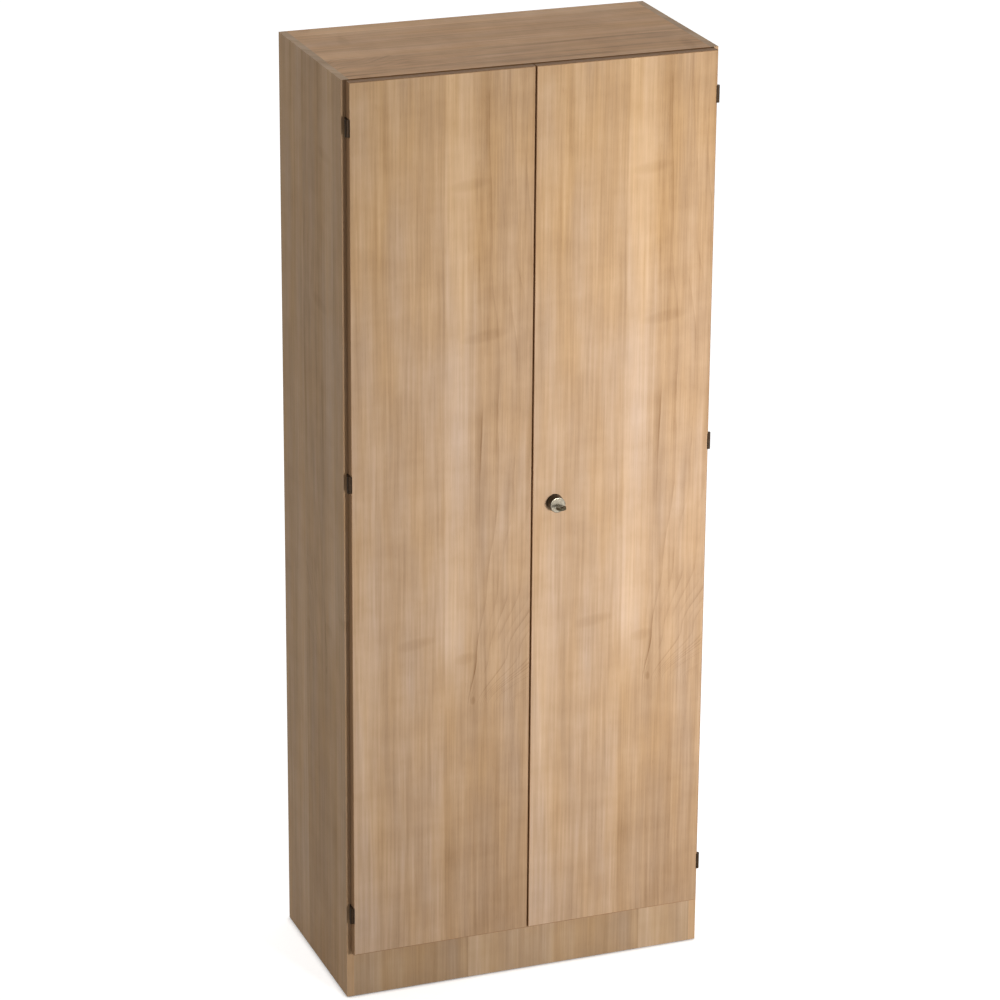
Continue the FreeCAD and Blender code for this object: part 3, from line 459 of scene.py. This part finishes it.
# %% Lay the decor
SHEET_WIDTH = 0.393
SWAY, SWAY_WIDTH = (0.13, 0.50, 1.3), 0.010
BROAD_GRAIN = (0.050, 1.3, 2.9)
MIDDLE_GRAIN = (0.014, 0.42, 7.1)
FINE_GRAIN = (0.0042, 0.20, 11.3, 3)
PORES, PORE_LEVELS = (0.0009, 0.022, 17.9), (0.10, 0.22)
SHIMMER = (0.075, 0.055, 23.3)
HUE_DRIFT = (0.045, 0.30, 31.7)
TONE_SHARES = {"broad": 0.45, "middle": 0.56, "fine": 0.66, "shimmer": 0.40, "staves": 0.55, "flame": -0.70,
               "marks": -0.50, "pores": -0.14}
WOOD_TONES = ((0.0, (0.280, 0.150, 0.064)), (0.5, (0.560, 0.366, 0.216)), (1.0, (0.815, 0.596, 0.420)))
TONE_SPAN = 0.62
TINT_COOL = (0.93, 1.00, 1.16)
TINT_WARM = (1.07, 1.00, 0.80)
HONEY_RISE = (1.2, 1.9)
CORE_START, CORE_FULL = 0.0004, 0.0002
GRAIN_RELIEF = 0.00012


def decor(name, across, along, start, contrast=1.0, tint=(1, 1, 1), honey=0.0, core=None, rear=0.0):
    """The wood decor laid with its grain along one axis of the cabinet, and the bare core at the rear."""
    finish = Finish(name, Specular_IOR_Level=0.10)
    axes = {"x": finish.x, "y": finish.y, "z": finish.z}
    through = ({"x", "y", "z"} - {across, along}).pop()
    raw_u = axes[across] + axes[through] - start[0]
    v = axes[along] - start[1]
    sway = finish.cloud(raw_u, v, *SWAY) * SWAY_WIDTH
    turns = raw_u / SHEET_WIDTH
    u = turns.math("FRACT", turns) * SHEET_WIDTH + sway

    fine = finish.cloud(u, v, *FINE_GRAIN)
    pores = finish.step(finish.cloud(u, v, *PORES), *PORE_LEVELS)
    layers = {
        "broad": finish.cloud(u, v, *BROAD_GRAIN),
        "middle": finish.cloud(u, v, *MIDDLE_GRAIN),
        "fine": fine,
        "shimmer": finish.cloud(u, v, *SHIMMER),
        "staves": staves(finish, u, v),
        "flame": flame(finish, u, v),
        "marks": figure_marks(finish, u, v),
        "pores": pores,
    }
    tone = sum(layer * TONE_SHARES[kind] for kind, layer in layers.items())
    wood = finish.ramp(tone * (TONE_SPAN * contrast) + 0.5, WOOD_TONES)

    hue = finish.cloud(u, v, *HUE_DRIFT) + finish.step(v, *HONEY_RISE) * honey
    cool, warm = (tuple(part * share for part, share in zip(colour, tint)) for colour in (TINT_COOL, TINT_WARM))
    wood = finish.times(wood, finish.ramp(hue + 0.5, ((0.0, cool), (1.0, warm))))
    if core:
        bare = finish.step(finish.y, rear - CORE_START, rear - CORE_FULL)
        wood = finish.blend(bare, wood, core(finish))
    finish.set("Base Color", wood)
    finish.set("Roughness", 0.46 - fine * 0.12 + pores * 0.10)
    finish.bump(0.5 + fine * 0.5 - pores * 0.4, GRAIN_RELIEF)
    return finish


print("decor sheet", SHEET_WIDTH, "m wide")

# %% [markdown]
# ## Boards
# Each board is cut from the sheet with its grain along its longer side, apart from the plinth, whose grain stands
# upright like the doors'. The start of the sheet differs from board to board, as it does when boards are sawn. Only
# the edges that show are covered: the rear edges are bare chipboard, and the back's rear face is brown fibreboard.

# %% Dress the boards
DOOR_TINT, DOOR_HONEY = (0.985, 1, 1.05), 0.36
# The top's tint is painted light: it warms the same print on the top to stand in for how the light falls there.
TOP_PAINTED_LIGHT_TINT = (1.21, 1.06, 0.88)
PLINTH_TINT = (0.90, 0.94, 0.99)

for side in ("left", "right"):
    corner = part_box(f"{side}_door_panel")[0]
    sheet_start = (corner.x + corner.y, 0)
    door_decor = decor(f"{side}_door_decor", "x", "z", sheet_start, tint=DOOR_TINT, honey=DOOR_HONEY)
    dress(door_decor, f"{side}_door_panel")
sawn = {"core": chipboard, "rear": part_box("left_side_panel")[1].y}
thin = {"core": fibreboard, "rear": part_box("back_panel")[1].y}
dress(decor("side_decor", "y", "z", (-0.705, 0.05), contrast=0.78, **sawn), "left_side_panel", "right_side_panel")
dress(decor("top_decor", "y", "x", (1.594, -1.1), contrast=1.2, tint=TOP_PAINTED_LIGHT_TINT, **sawn), "top_panel")
dress(decor("bottom_decor", "y", "x", (0.4, -0.7), **sawn), "bottom_panel")
dress(decor("shelf_decor", "y", "x", (-0.29, -0.9)), "lower_shelf", "fixed_shelf", "middle_shelf", "upper_shelf")
plinth_decor = decor("plinth_decor", "x", "z", (-0.685, -0.42), contrast=0.85, tint=PLINTH_TINT)
dress(plinth_decor, "plinth_board", "rear_rail")
dress(decor("back_decor", "x", "z", (-0.47, -0.2), **thin), "back_panel")

# %% [markdown]
# ## Door edging
# The doors' edges carry a darker brown plastic band, seen as the dark line above each door and beside the hinges. It
# is extruded, so its faint texture runs along the edge. Noise that is stretched along the edge shows that, and needs
# no image.

# %% Dress the edging
EDGING_BROWNS = ((0.2, (0.300, 0.168, 0.085)), (0.8, (0.410, 0.240, 0.126)))
EDGING_DRAW = (0.0012, 0.15, 5.5)
EDGING_RELIEF = 0.00008

edging = Finish("brown_edging", Specular_IOR_Level=0.08)
drawn = edging.cloud(edging.x + edging.y, edging.z, *EDGING_DRAW)
edging.set("Base Color", edging.ramp(drawn + 0.5, EDGING_BROWNS))
edging.set("Roughness", 0.52 + drawn * 0.2)
edging.bump(0.5 + drawn, EDGING_RELIEF)
dress(edging, "left_door_edge_band", "right_door_edge_band")

# %% [markdown]
# ## Hinges
# The hinges are bronzed steel, dark with a warm tint. Metal shows mainly what it reflects, so the work lies in
# roughness and a fine bump. A full metal would mirror the white room and look pale, so this one is only partly metal,
# with an uneven brown film.

# %% Dress the hinges
BRONZE_BROWNS = ((0.3, (0.030, 0.017, 0.008)), (0.75, (0.066, 0.038, 0.019)))
BRONZE_GRAIN, BRONZE_RELIEF = 0.0006, 0.00003

bronze = Finish("bronzed_steel", Metallic=0.4, Specular_IOR_Level=0.25)
film = bronze.speckle(0.004, 3)
bronze.set("Base Color", bronze.ramp(film + 0.5, BRONZE_BROWNS))
bronze.set("Roughness", 0.50 + film * 0.35)
bronze.bump(bronze.speckle(BRONZE_GRAIN), BRONZE_RELIEF)
hinge_leaves = [name for name in nodes if name.endswith("_leaf")]
dress(bronze, *hinge_leaves, "left_hinge_pins", "right_hinge_pins")

# %% [markdown]
# ## Lock and key
# The lock is satin nickel, turned on a lathe, so its scratches run in circles round the lock's axis. An anisotropic
# shader could stand for them, but rings of noise over the radius bake into ordinary textures. The rosette is dark all
# round, and bright only on its turned face.

# %% Dress the lock
NICKEL_GREYS = ((0.25, (0.36, 0.322, 0.25)), (0.8, (0.49, 0.445, 0.355)))
FLANK_DARKS = ((0.2, (0.026, 0.022, 0.017)), (0.8, (0.055, 0.047, 0.037)))
LATHE_RINGS = (0.0003, 0.02, 3.3)
LATHE_RELIEF = 0.00002
FACE_START, FACE_END = 0.0004, 0.0008

lock_low, lock_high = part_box("lock_plug")
lock_axis = (lock_low + lock_high) / 2


def turned_metal(name, face=None):
    """Satin nickel with fine circles round the lock's axis, dark behind its face."""
    finish = Finish(name, Metallic=1.0)
    off_x = finish.x - lock_axis.x
    off_z = finish.z - lock_axis.z
    radius = off_x.math("SQRT", off_x * off_x + off_z * off_z)
    rings = finish.cloud(radius, finish.y, *LATHE_RINGS)
    haze = finish.speckle(0.006)
    metal = finish.ramp(haze + rings * 0.4 + 0.5, NICKEL_GREYS)
    if face is not None:
        black = finish.ramp(haze + 0.5, FLANK_DARKS)
        metal = finish.blend(finish.step(finish.y, face + FACE_START, face + FACE_END), metal, black)
    finish.set("Base Color", metal)
    finish.set("Roughness", 0.32 + rings * 0.25 + haze * 0.1)
    finish.bump(0.5 + rings, LATHE_RELIEF)
    return finish


dress(turned_metal("satin_nickel"), "lock_barrel", "lock_plug", "key_blade")
dress(turned_metal("rosette_nickel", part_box("lock_rosette")[0].y), "lock_rosette")

# %% [markdown]
# ## Zinc-plated fittings
# Rods, strikes, plates, cams and pins are zinc plated, with the faint haze and fine grain of a plating bath. Large
# crystals would belong to hot-dipped steel, so two sizes of soft noise change the grey and the roughness a little.

# %% Dress the zinc
ZINC_GREYS = ((0.2, (0.31, 0.315, 0.32)), (0.8, (0.42, 0.425, 0.43)))
ZINC_RELIEF = 0.00002

zinc = Finish("zinc_plate", Metallic=1.0)
haze = zinc.speckle(0.014, 3)
grain = zinc.speckle(0.0008)
zinc.set("Base Color", zinc.ramp(haze + grain * 0.3 + 0.5, ZINC_GREYS))
zinc.set("Roughness", 0.46 + haze * 0.12 + grain * 0.08)
zinc.bump(grain, ZINC_RELIEF)
dress(zinc, "cam_discs", "cam_bolts", "shelf_pins", "lock_case", "lock_pinion", "upper_rod", "lower_rod",
      "upper_strike", "lower_strike", "left_catch_plate", "right_catch_plate")

# %% [markdown]
# ## Plastics and rubber
# Moulded plastic has a fine spark-eroded grain that keeps it matt. The key's bow is a dark olive brown, the rod guides
# are black, the catches and floor glides brown. A catch holds its magnet between two steel poles, whose tips show at
# its front: they could be pieces of their own, but a change of metal at the right depth is enough. The door buffers are
# clear soft rubber.

# %% Dress plastics and rubber
MOULDED_ROUGHNESS = 0.5
MOULDED_RELIEF = 0.00006
BROWN_DARK = (0.060, 0.036, 0.020)
BROWN_LIGHT = (0.105, 0.066, 0.040)
POLE_REACH, POLE_BLUR = 0.0011, 0.0002
POLE_STEEL = (0.52, 0.52, 0.51, 1)


def moulded(name, dark, light, rough=MOULDED_ROUGHNESS, pole_end=None):
    """Grained plastic, with steel in front of a given y."""
    finish = Finish(name, Specular_IOR_Level=0.45)
    shade = finish.speckle(0.012)
    grain = finish.speckle(0.0007, 3)
    colour = finish.ramp(shade + grain * 0.4 + 0.5, ((0.25, dark), (0.8, light)))
    if pole_end is not None:
        steel = finish.step(finish.y, pole_end, pole_end - POLE_BLUR)
        colour = finish.blend(steel, colour, POLE_STEEL)
        finish.set("Metallic", steel)
    finish.set("Base Color", colour)
    finish.set("Roughness", rough + grain * 0.25)
    finish.bump(0.5 + grain, MOULDED_RELIEF)
    return finish


dress(moulded("dark_bow", (0.042, 0.032, 0.012), (0.080, 0.063, 0.026)), "key_bow")
dress(moulded("black_moulding", (0.014, 0.013, 0.012), (0.032, 0.030, 0.028)), "rod_guides")
dress(moulded("brown_moulding", BROWN_DARK, BROWN_LIGHT), "floor_glides")
pole_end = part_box("left_magnet_catch")[0].y + POLE_REACH
catch_moulding = moulded("catch_moulding", BROWN_DARK, BROWN_LIGHT, pole_end=pole_end)
dress(catch_moulding, "left_magnet_catch", "right_magnet_catch")
rubber = moulded("clear_rubber", (0.60, 0.60, 0.57), (0.72, 0.72, 0.69), rough=0.35)

# %% [markdown]
# ## Beech dowels
# The dowels that join the boards are beech, with short dark flecks along their length. They are hidden once the cabinet
# is put together, so one stretched noise is enough.

# %% Dress the dowels
BEECH_BROWNS = ((0.25, (0.40, 0.24, 0.12)), (0.75, (0.62, 0.42, 0.24)))
BEECH_FLECKS = (0.0015, 0.012, 8.1)

beech = Finish("beech")
fleck = beech.cloud(beech.y + beech.z, beech.x, *BEECH_FLECKS)
beech.set("Base Color", beech.ramp(fleck + 0.5, BEECH_BROWNS))
beech.set("Roughness", 0.6 + fleck * 0.2)
dress(beech, "dowels")

# %% [markdown]
# ## Screws and buffers
# The construction model has plain countersunk screws and plain rubber dots. A real screw head has a cross recess for
# the driver, and a buffer is a dome. Both are drawn out ring by ring along an axis, as on a lathe. A recess could be
# cut with a boolean, but it is cleaner to start from it: nine squares without their corners make a cross, the head is
# filled in round it, and the cross is pressed down.

# %% Turned shapes
RIM_POINTS = 24
RECESS_TAPER = 0.6
SCREW_RINGS = ((0.0030, 0), (0.0016, -0.0014), (0.0016, -0.0105), (0.0002, -0.0129))
BUFFER_RINGS = ((0.0040, 0), (0.0039, -0.0005), (0.0034, -0.0011), (0.0024, -0.0015), (0.0008, -0.00168))


def drawn_out(rings, recess=0.0, depth=0.0):
    """A shape drawn out through rings of (radius, z), with a cross recess in its first end."""
    shape = bmesh.new()
    if recess:
        bmesh.ops.create_grid(shape, x_segments=3, y_segments=3, size=recess)
        corners = [face for face in shape.faces if min(map(abs, face.calc_center_median().xy)) > recess / 3]
        bmesh.ops.delete(shape, geom=corners, context="FACES")
    cross = shape.faces[:]
    outline = [edge for edge in shape.edges if edge.is_boundary]
    rim = bmesh.ops.create_circle(shape, segments=RIM_POINTS, radius=rings[0][0])["verts"]
    loop = list(dict.fromkeys(edge for vert in rim for edge in vert.link_edges))
    bmesh.ops.triangle_fill(shape, use_beauty=True, edges=outline + loop)
    if recess:
        pressed = bmesh.ops.extrude_face_region(shape, geom=cross)["geom"]
        bmesh.ops.delete(shape, geom=cross, context="FACES")
        deep = [item for item in pressed if isinstance(item, bmesh.types.BMVert)]
        bmesh.ops.scale(shape, verts=deep, vec=(RECESS_TAPER, RECESS_TAPER, 1))
        bmesh.ops.translate(shape, verts=deep, vec=(0, 0, -depth))
    for (radius, level), (next_radius, next_level) in zip(rings, rings[1:]):
        grown = bmesh.ops.extrude_edge_only(shape, edges=loop)["geom"]
        rim = [item for item in grown if isinstance(item, bmesh.types.BMVert)]
        loop = [item for item in grown if isinstance(item, bmesh.types.BMEdge)]
        bmesh.ops.scale(shape, verts=rim, vec=(next_radius / radius, next_radius / radius, 1))
        bmesh.ops.translate(shape, verts=rim, vec=(0, 0, next_level - level))
    bmesh.ops.contextual_create(shape, geom=loop)
    bmesh.ops.recalc_face_normals(shape, faces=shape.faces)
    return shape


screw_shape = drawn_out(SCREW_RINGS, recess=0.0018, depth=0.0013)
buffer_shape = drawn_out(BUFFER_RINGS)
for face in buffer_shape.faces:
    face.smooth = True
print("screw", len(screw_shape.faces), "faces, buffer", len(buffer_shape.faces), "faces")

# %% [markdown]
# ## Where they go
# A construction piece with many screws is one mesh of loose triangles. Merged, it falls into one shell per screw, and
# each shell's box says where the screw's head lies. The places could be typed in, but read from the shells they stay
# right when the cabinet's sizes change.


# %% Find the shells
def shell_boxes(name):
    """The corners of each separate shell of a construction piece."""
    merged = bmesh.new()
    merged.from_mesh(nodes[name].data)
    bmesh.ops.remove_doubles(merged, verts=merged.verts, dist=1e-6)
    found = set()
    boxes = []
    for start in merged.verts:
        if start not in found:
            shell = [start]
            found.add(start)
            for vert in shell:
                fresh = [edge.other_vert(vert) for edge in vert.link_edges if edge.other_vert(vert) not in found]
                found.update(fresh)
                shell.extend(fresh)
            places = [[vert.co[axis] for vert in shell] for axis in range(3)]
            boxes.append((Vector(map(min, places)), Vector(map(max, places))))
    merged.free()
    return boxes


print(len(shell_boxes("frame_leaf_screws")), "screws hold the frame leaves")

# %% [markdown]
# ## Putting them in place
# One object takes a copy of the shape for every place. Linked copies would be lighter, but a single mesh at the origin
# rides on its door like any other piece. The screws of a hinge point sideways into side panel and door, those of the
# lock case to the front, and the buffers stand on the doors' rear faces.

# %% Put them in place
UP, DOWN = Vector((0, 0, 1)), Vector((0, 0, -1))
FRONT, REAR = Vector((0, -1, 0)), Vector((0, 1, 0))


def fasten(name, body, shape, seats, finish):
    """A piece made of copies of a shape, each at its place and with its tip pointing one way."""
    mesh = bpy.data.meshes.new(name)
    shape.to_mesh(mesh)
    whole = bmesh.new()
    for place, tip in seats:
        count = len(whole.verts)
        whole.from_mesh(mesh)
        turn = tip.to_track_quat("-Z", "Y").to_matrix().to_4x4()
        bmesh.ops.transform(whole, matrix=Matrix.Translation(place) @ turn, verts=whole.verts[count:])
    whole.to_mesh(mesh)
    whole.free()
    mesh.materials.append(finish.owner)
    piece = bpy.data.objects.new(name, mesh)
    scene.collection.objects.link(piece)
    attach(piece, body)
    print(name, len(seats), "copies,", len(mesh.polygons), "faces")
    return piece


def stand_in(node, body, shape, way, finish):
    """Replace the shells of a construction piece by copies of a shape that point in their own way."""
    seats = []
    for low, high in shell_boxes(node):
        middle = (low + high) / 2
        tip = way(middle)
        seats.append((middle - tip * abs(tip.dot(high - low)) / 2, tip))
    piece = fasten(f"{node}_detailed", body, shape, seats, finish)
    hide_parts(node)
    dressed.add(node)


def outwards(middle):
    return Vector((math.copysign(1, middle.x), 0, 0))


def inwards(middle):
    return -outwards(middle)


stand_in("frame_leaf_screws", "carcass", screw_shape, outwards, zinc)
stand_in("lock_case_screws", "right_door", screw_shape, lambda middle: FRONT, zinc)
for side in ("left", "right"):
    stand_in(f"{side}_door_leaf_screws", f"{side}_door", screw_shape, inwards, zinc)
    stand_in(f"{side}_door_buffers", f"{side}_door", buffer_shape, lambda middle: REAR, rubber)
print("still undressed:", sorted(set(nodes) - dressed))

# %% [markdown]
# ## Screws that hold the small fittings
# Rod guides, strikes, catches and catch plates are fixed by round-headed wood screws, which the construction model
# leaves out. Each is drawn out like the others, but from a low dome with the cross recess in it. Where they go follows
# from each fitting's box: one near either end, in the middle of its ear or of its spare length.

# %% Round-headed screws
DOME_HEIGHT = 0.0009
DOME_RINGS = ((0.0017, 0), (0.0024, -0.0003), (0.0027, -0.0008), (0.0027, -DOME_HEIGHT), (0.0013, -DOME_HEIGHT),
              (0.0013, -0.0085), (0.0002, -0.0105))
dome_shape = drawn_out(DOME_RINGS, recess=0.0012, depth=0.0007)


def fixing_screws(name, body, seats, tip):
    """Round-headed screws whose heads sit on their seats, with their tips one way."""
    fasten(name, body, dome_shape, [(seat - tip * DOME_HEIGHT, tip) for seat in seats], zinc)


def seats_in(corners, inset, **level):
    """Two seats on a fitting's middle line, some way in from its ends in x, at a given level in y or z."""
    low, high = corners
    seats = [(low + high) / 2, (low + high) / 2]
    for seat, x in zip(seats, (low.x + inset, high.x - inset)):
        seat.x = x
        for axis, value in level.items():
            setattr(seat, axis, value)
    return seats


print("round-headed screw", len(dome_shape.faces), "faces")

# %% Add the fixing screws
GUIDE_INSET, GUIDE_WALL = 0.004, 0.002
STRIKE_INSET = 0.0075
CATCH_INSET, CATCH_EAR = 0.0045, 0.003

ear_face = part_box("rod_guides")[0].y + GUIDE_WALL
guide_seats = [seat for guide in shell_boxes("rod_guides") for seat in seats_in(guide, GUIDE_INSET, y=ear_face)]
fixing_screws("guide_screws", "right_door", guide_seats, FRONT)
upper_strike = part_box("upper_strike")
lower_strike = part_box("lower_strike")
fixing_screws("upper_strike_screws", "carcass", seats_in(upper_strike, STRIKE_INSET, z=upper_strike[0].z), UP)
fixing_screws("lower_strike_screws", "carcass", seats_in(lower_strike, STRIKE_INSET, z=lower_strike[1].z), DOWN)
for side in ("left", "right"):
    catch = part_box(f"{side}_magnet_catch")
    catch_seats = seats_in(catch, CATCH_INSET, z=catch[1].z - CATCH_EAR)
    fixing_screws(f"{side}_catch_screws", "carcass", catch_seats, UP)
    low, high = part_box(f"{side}_catch_plate")
    seat = (low + high) / 2
    seat.y = high.y
    fixing_screws(f"{side}_plate_screw", f"{side}_door", [seat], FRONT)

# %% [markdown]
# The dressed cabinet has to keep the size of the construction model. The box of what is drawn is printed.

# %% Print the box
low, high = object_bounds()
print("visual box", [round(side, 3) for side in high - low], "m")
